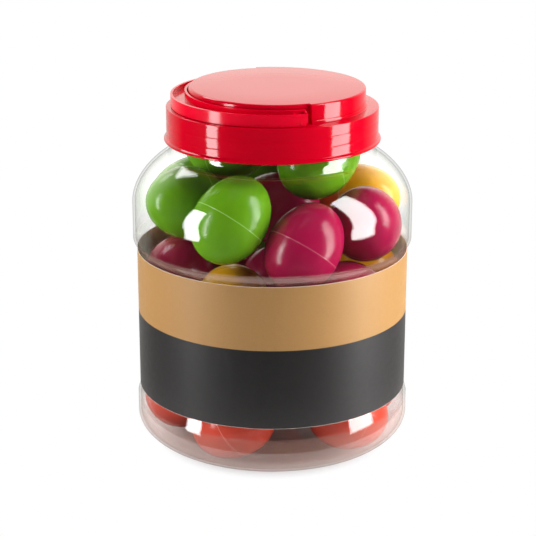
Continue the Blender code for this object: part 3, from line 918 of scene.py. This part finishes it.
def make_liner(material):
    """Foam disc with pressed rings on its lower face."""
    bearings = even_bearings(LINER_SEGMENTS)
    line = [(MIDDLE_RADIUS, LINER_BOTTOM)]
    for radius in np.arange(LINER_RING_START, LINER_RADIUS - LINER_RING_MARGIN, LINER_RING_GAP):
        line.append((radius - LINER_RING_WIDTH, LINER_BOTTOM))
        line.append((radius, LINER_BOTTOM + LINER_RING_DEPTH))
        line.append((radius + LINER_RING_WIDTH, LINER_BOTTOM))
    line += [
        (LINER_RADIUS - LINER_CHAMFER, LINER_BOTTOM),
        (LINER_RADIUS, LINER_BOTTOM + LINER_CHAMFER),
        (LINER_RADIUS, LINER_TOP - LINER_CHAMFER),
        (LINER_RADIUS - LINER_CHAMFER, LINER_TOP),
        (MIDDLE_RADIUS, LINER_TOP),
    ]
    mesh = make_mesh("foam_liner", *skin(spin_rings(line, bearings)))
    make_piece("foam_liner", mesh, material, "liner", "lid_liner")


def handle_section(outer, inner, low, floor_share):
    """Channel section between two plan points; its floor rises to the rims as the share goes to 1."""
    across = outer - inner
    width = np.linalg.norm(across)
    wall = across / width * HANDLE_WALL
    inner_floor = HANDLE_FLOOR + floor_share * (HANDLE_INNER_RIM - HANDLE_FLOOR)
    outer_floor = HANDLE_FLOOR + floor_share * (HANDLE_OUTER_RIM - HANDLE_FLOOR)
    slope = (HANDLE_OUTER_RIM - HANDLE_INNER_RIM) * HANDLE_WALL / width * floor_share
    return np.array((
        outer + HANDLE_OUTER_RIM * UP,
        outer + low * UP,
        inner + low * UP,
        inner + HANDLE_INNER_RIM * UP,
        inner + wall + HANDLE_INNER_RIM * UP,
        inner + wall + (inner_floor + slope) * UP,
        outer - wall + (outer_floor - slope) * UP,
        outer - wall + HANDLE_OUTER_RIM * UP,
    ))


def handle_plan(angle):
    """Outer and inner plan points of the handle at an angle round from its front hinge."""
    turn = math.radians(angle)
    outer = hinge_place(HANDLE_RADIUS * math.cos(turn), HANDLE_RADIUS * math.sin(turn), 0.0)
    inner = hinge_place(HANDLE_HINGE_REACH * math.cos(turn), HANDLE_GRIP_REACH * math.sin(turn), 0.0)
    return outer, inner


def handle_end(side):
    """Sections of a squared end: a thin end wall, then the start of the channel."""
    steps = ((0.0, 1.0), (END_WALL, 1.0), (END_WALL + END_DRAFT, 0.0), (END_CHAMFER, 0.0))
    sections = []
    for depth, floor_share in steps:
        place = depth - END_OVERHANG
        lift = END_CHAMFER_RISE * (1 - depth / END_CHAMFER)
        outer = hinge_place(side * HANDLE_RADIUS, place, 0.0)
        inner = hinge_place(side * HANDLE_HINGE_REACH, place, 0.0)
        sections.append(handle_section(outer, inner, HANDLE_BASE + lift, floor_share))
    return sections


def handle_stations():
    """Angles round the handle with the rise of the floor at each, for a low rib near each end."""
    rib_start = RIB_ANGLE + RIB_DRAFT
    rib_end = rib_start + RIB_WIDTH
    ribs = ((RIB_ANGLE, 0.0), (rib_start, RIB_SHARE), (rib_end, RIB_SHARE), (rib_end + RIB_DRAFT, 0.0))
    middle_start = RIB_ANGLE + RIB_CLEAR
    stations = [(0.0, 0.0), *ribs]
    for angle in np.linspace(middle_start, 180.0 - middle_start, HANDLE_STEPS):
        stations.append((angle, 0.0))
    for angle, floor_share in ribs[::-1]:
        stations.append((180.0 - angle, floor_share))
    stations.append((180.0, 0.0))
    return stations


def make_handle(material):
    """Channel with thin end walls, a low rib near each end, two hinge pins and a moulding pip."""
    sections = handle_end(1.0)
    for angle, floor_share in handle_stations():
        sections.append(handle_section(*handle_plan(angle), HANDLE_BASE, floor_share))
    sections += handle_end(-1.0)[::-1]
    vertices, faces = skin(sections)
    pin_end = HANDLE_HINGE_REACH + 0.5 * HANDLE_WALL
    rods = [rod(side * PIN_INNER_END, side * pin_end, PIN_RADIUS) for side in (1.0, -1.0)]
    rods.append(rod(HANDLE_RADIUS - PIP_ROOT, HANDLE_RADIUS + PIP_HEIGHT, PIP_RADIUS, *PIP_PLACE))
    for rod_vertices, rod_faces in rods:
        faces += [tuple(corner + len(vertices) for corner in face) for face in rod_faces]
        vertices = np.concatenate((vertices, rod_vertices))
    blank = add_blank("handle_blank", make_mesh("handle_blank", vertices, faces))
    bevel = blank.modifiers.new("soft_edges", "BEVEL")
    bevel.width = HANDLE_ROUND * MM
    bevel.segments = 2
    bevel.limit_method = "ANGLE"
    bevel.angle_limit = math.radians(HANDLE_ROUND_ANGLE)
    bevel.harden_normals = True
    mesh = settled_mesh("folding_handle", blank)
    make_piece("folding_handle", mesh, material, "handle", "carry_handle")


def egg_arc(length, radius, steps):
    """Quarter line of an egg from just off the seam to just off the pole."""
    angles = np.linspace(0.0, math.pi / 2, steps + 1)[1:-1]
    line = [(radius * math.cos(angle), length * math.sin(angle)) for angle in angles]
    return line + [(EGG_POLE * radius, length * math.sqrt(1 - EGG_POLE ** 2))]


def seam_line(side):
    """Tiny weld bead beside the seam, on the side of the point (1) or of the blunt end (-1)."""
    return [
        (EGG_RADIUS + SEAM_BEAD, 0.0),
        (EGG_RADIUS + SEAM_SHOULDER * SEAM_BEAD, side * 0.5 * SEAM_HALF_WIDTH),
        (EGG_RADIUS, side * SEAM_HALF_WIDTH),
        (EGG_RADIUS - SEAM_DIP, side * 2.0 * SEAM_HALF_WIDTH),
    ]


def egg_half_line(side, length):
    """Outer line of half an egg, from the seam to the pole."""
    arc = [(radius, side * height) for radius, height in egg_arc(length, EGG_RADIUS, EGG_RINGS)]
    return seam_line(side) + arc


def egg_mesh(name, line):
    """Egg or half egg, with the distance of each vertex from the seam plane, in millimetres."""
    bearings = even_bearings(EGG_SEGMENTS)
    mesh = make_mesh(name, *skin(spin_rings(line, bearings)), smooth_angle=EGG_SMOOTH_ANGLE)
    offsets = mesh.attributes.new("seam_offset", "FLOAT", "POINT")
    offsets.data.foreach_set("value", [abs(vertex.co.z) / MM for vertex in mesh.vertices])
    return mesh


def whole_egg_mesh(name):
    """Egg in one piece, from its blunt end to its point."""
    return egg_mesh(name, egg_half_line(-1.0, EGG_BLUNT)[::-1] + egg_half_line(1.0, EGG_POINT)[1:])


def shell_mesh(name, side, length):
    """Half shell; the blunt half has a collar that plugs into the other."""
    line = egg_half_line(side, length)[::-1]
    inside = EGG_RADIUS - EGG_WALL
    hollow = [(radius, side * height) for radius, height in egg_arc(length - EGG_WALL, inside, EGG_RINGS)]
    if side < 0:
        collar = inside - COLLAR_GAP
        line += [(collar, 0.0), (collar, COLLAR_HEIGHT), (collar - COLLAR_WALL, COLLAR_HEIGHT)]
        hollow = [point for point in hollow if point[0] < collar - COLLAR_WALL]
    else:
        line.append((inside, 0.0))
    return egg_mesh(name, line + hollow)


def node_points(*nodes):
    """Vertices of the named solids, in metres."""
    return np.concatenate([[vertex.co for vertex in frame["nodes"][node].data.vertices] for node in nodes])


def egg_pose(*nodes):
    """Place an egg with its seam centre at the origin and its point along +Z, read from its solids."""
    points = node_points(*nodes)
    middle = points.mean(axis=0)
    first = points[np.argmax(np.linalg.norm(points - middle, axis=1))]
    second = points[np.argmax(np.linalg.norm(points - first, axis=1))]
    length = np.linalg.norm(second - first)
    axis = (second - first) / length
    along = (points - first) @ axis
    radii = np.linalg.norm(points - first - along[:, None] * axis, axis=1)
    seam = along[radii > radii.max() - SEAM_TOLERANCE * MM].mean()
    centre = first + seam * axis
    point = axis if seam < length / 2 else -axis
    turn = Vector(point).to_track_quat("Z", "Y").to_matrix().to_4x4()
    return Matrix.Translation(centre) @ turn


def place_copy(piece, mesh, material, body, node, pose):
    """Show a copy of a mesh where its solid lies."""
    copy = mesh.copy()
    copy.transform(pose)
    make_piece(piece, copy, material, body, node)


def make_eggs():
    """Whole eggs as one moulding each, and the two-part eggs as their two halves."""
    materials = {slot: egg_plastic(slot, *tones) for slot, tones in EGG_COLOURS.items()}
    whole = whole_egg_mesh("whole_egg")
    blunt = shell_mesh("blunt_half", -1.0, EGG_BLUNT)
    point = shell_mesh("point_half", 1.0, EGG_POINT)
    for node, slot in slots.items():
        if slot not in materials:
            continue
        material = materials[slot]
        if node.endswith("_blunt_shell"):
            egg = node.removesuffix("_blunt_shell")
            pose = egg_pose(node, egg + "_point_shell")
            place_copy(egg + "_blunt_half", blunt, material, "jar", node, pose)
            place_copy(egg + "_point_half", point, material, "jar", egg + "_point_shell", pose)
        elif not node.endswith("_point_shell"):
            place_copy(node + "_moulding", whole, material, "jar", node, egg_pose(node))


def pellet_places():
    """Centres of pellets packed in layers inside a flat heap that lies across Z."""
    reach = CHARGE_REACH - PELLET_RADIUS
    depth = CHARGE_DEPTH - PELLET_RADIUS
    row_gap = PELLET_SPACING * math.sqrt(3) / 2
    layer_gap = PELLET_SPACING * math.sqrt(2 / 3)
    places = []
    for layer in PELLET_LAYERS:
        for row in PELLET_ROWS:
            for column in PELLET_ROWS:
                along = PELLET_SPACING * (column + row % 2 / 2 + layer % 2 / 2)
                aside = row_gap * (row + layer % 2 / 3)
                height = layer_gap * layer
                if math.hypot(math.hypot(along, aside) / reach, height / depth) < 1.0:
                    places.append((along, aside, height))
    return places


def pellet_mesh():
    """Heap of separate round pellets."""
    shape = bmesh.new()
    for place in pellet_places():
        centre = Matrix.Translation(Vector(place) * MM)
        bmesh.ops.create_icosphere(shape, subdivisions=2, radius=PELLET_RADIUS * MM, matrix=centre)
    mesh = bpy.data.meshes.new("pellets")
    shape.to_mesh(mesh)
    shape.free()
    mesh.shade_smooth()
    return mesh


def make_charges(material):
    """Loose shot in each two-part egg, heaped where its solid lies."""
    mesh = pellet_mesh()
    for node, slot in slots.items():
        if slot != "steel_shot":
            continue
        egg = node.removesuffix("_shot_charge")
        centre = Vector(node_points(node).mean(axis=0))
        shell = egg_pose(egg + "_blunt_shell", egg + "_point_shell").to_translation()
        turn = (shell - centre).to_track_quat("Z", "Y").to_matrix().to_4x4()
        pose = Matrix.Translation(centre) @ turn
        place_copy(egg + "_shot", mesh, material, egg + "_charge", node, pose)


def make_camera():
    """Camera set to the view of the photograph."""
    camera = bpy.data.objects.new("camera", bpy.data.cameras.new("camera"))
    bpy.context.scene.collection.objects.link(camera)
    camera.location = CAMERA_PLACE
    camera.rotation_euler = (math.radians(90.0 - CAMERA_PITCH), 0.0, 0.0)
    camera.data.lens = CAMERA_LENS
    bpy.context.scene.camera = camera


def add_softbox(name, bearing, width, bottom, top, radiance):
    """Upright rectangular lamp that faces the jar."""
    lamp = bpy.data.lights.new(name, "AREA")
    lamp.shape = "RECTANGLE"
    lamp.size = width
    lamp.size_y = top - bottom
    lamp.energy = radiance * math.pi * width * (top - bottom)
    box = bpy.data.objects.new(name, lamp)
    bpy.context.scene.collection.objects.link(box)
    outward = Vector(bearing_vector(bearing))
    box.location = LAMP_DISTANCE * outward + Vector((0.0, 0.0, (bottom + top) / 2))
    box.rotation_euler = (-outward).to_track_quat("-Z", "Y").to_euler()
    return box


def add_overhead(name, height, width, radiance):
    """Square lamp above the jar, for soft light that leaves no mirror patch."""
    lamp = bpy.data.lights.new(name, "AREA")
    lamp.size = width
    lamp.energy = radiance * math.pi * width * width
    box = bpy.data.objects.new(name, lamp)
    bpy.context.scene.collection.objects.link(box)
    box.location = (0.0, 0.0, height)
    box.visible_glossy = False


def floor_paper():
    """Pale paper that takes the shadow near the jar and is plain white to the eye further out."""
    material, tree = new_material("floor")
    paper = add_node(tree, "ShaderNodeBsdfDiffuse", Color=FLOOR_GREY)
    white = add_node(tree, "ShaderNodeEmission", Color=WHITE, Strength=1.0)
    fade = ranged(tree, vector_length(tree, object_place(tree)), 0.0, 1.0, *SHADOW_REACH)
    rays = add_node(tree, "ShaderNodeLightPath")
    plain = math_value(tree, "MULTIPLY", fade, rays.outputs["Is Camera Ray"])
    finish_material(tree, mix_shaders(tree, plain, paper, white))
    return material


def make_floor(name, radius, level, material):
    """Round sheet of floor centred under the jar."""
    mesh = bpy.data.meshes.new(name)
    rim = radius * bearing_vector(even_bearings(FLOOR_SIDES)) + level * UP
    mesh.from_pydata(rim.tolist(), [], [tuple(range(FLOOR_SIDES))])
    floor = bpy.data.objects.new(name, mesh)
    bpy.context.scene.collection.objects.link(floor)
    mesh.materials.append(material)
    return floor


def make_world():
    """Studio that lights the jar from low behind it, dark above and in front, and white to the eye."""
    world = bpy.data.worlds.new("studio")
    bpy.context.scene.world = world
    world.use_nodes = True
    tree = world.node_tree
    tree.nodes.clear()
    place = add_node(tree, "ShaderNodeTexCoord")
    parts = add_node(tree, "ShaderNodeSeparateXYZ")
    tree.links.new(place.outputs["Generated"], parts.inputs["Vector"])
    depth = ranged(tree, parts.outputs["Y"], low=0.02, high=1.0, start=0.38, end=0.88)
    rise = ranged(tree, parts.outputs["Z"], low=0.5, high=1.0, start=-0.1, end=0.15)
    fall = ranged(tree, parts.outputs["Z"], low=1.0, high=0.1, start=0.45, end=0.7)
    level = math_value(tree, "MULTIPLY", math_value(tree, "MULTIPLY", depth, rise), fall)
    studio = add_node(tree, "ShaderNodeBackground", Strength=STUDIO_STRENGTH)
    tree.links.new(mix_colours(tree, level, (0.0, 0.0, 0.0), STUDIO_TONE), studio.inputs["Color"])
    white = add_node(tree, "ShaderNodeBackground", Color=WHITE, Strength=1.0)
    rays = add_node(tree, "ShaderNodeLightPath")
    seen = math_value(tree, "MAXIMUM", rays.outputs["Is Camera Ray"], rays.outputs["Is Transmission Ray"])
    output = add_node(tree, "ShaderNodeOutputWorld")
    tree.links.new(mix_shaders(tree, seen, studio, white).outputs[0], output.inputs["Surface"])


def make_studio():
    """Floor, surroundings, lamps and camera."""
    paper = floor_paper()
    make_floor("floor", FLOOR_RADIUS, FLOOR_LEVEL, paper).visible_glossy = False
    make_floor("near_floor", NEAR_FLOOR_RADIUS, NEAR_FLOOR_LEVEL, paper)
    make_world()
    for softbox in SOFTBOXES:
        add_softbox(*softbox)
    for fill in FILLS:
        add_softbox(*fill).visible_glossy = False
    add_overhead("top_fill", TOP_FILL_HEIGHT, TOP_FILL_WIDTH, TOP_FILL_RADIANCE)
    make_camera()
    bpy.context.scene.view_settings.view_transform = "Standard"


make_jar(clear_plastic())
make_label(label_print())
make_lid(moulded_plastic("lid_red", LID_RED, LID_ROUGHNESS))
make_handle(moulded_plastic("handle_red", HANDLE_RED, HANDLE_ROUGHNESS))
make_liner(foam())
make_eggs()
make_charges(steel())
make_studio()
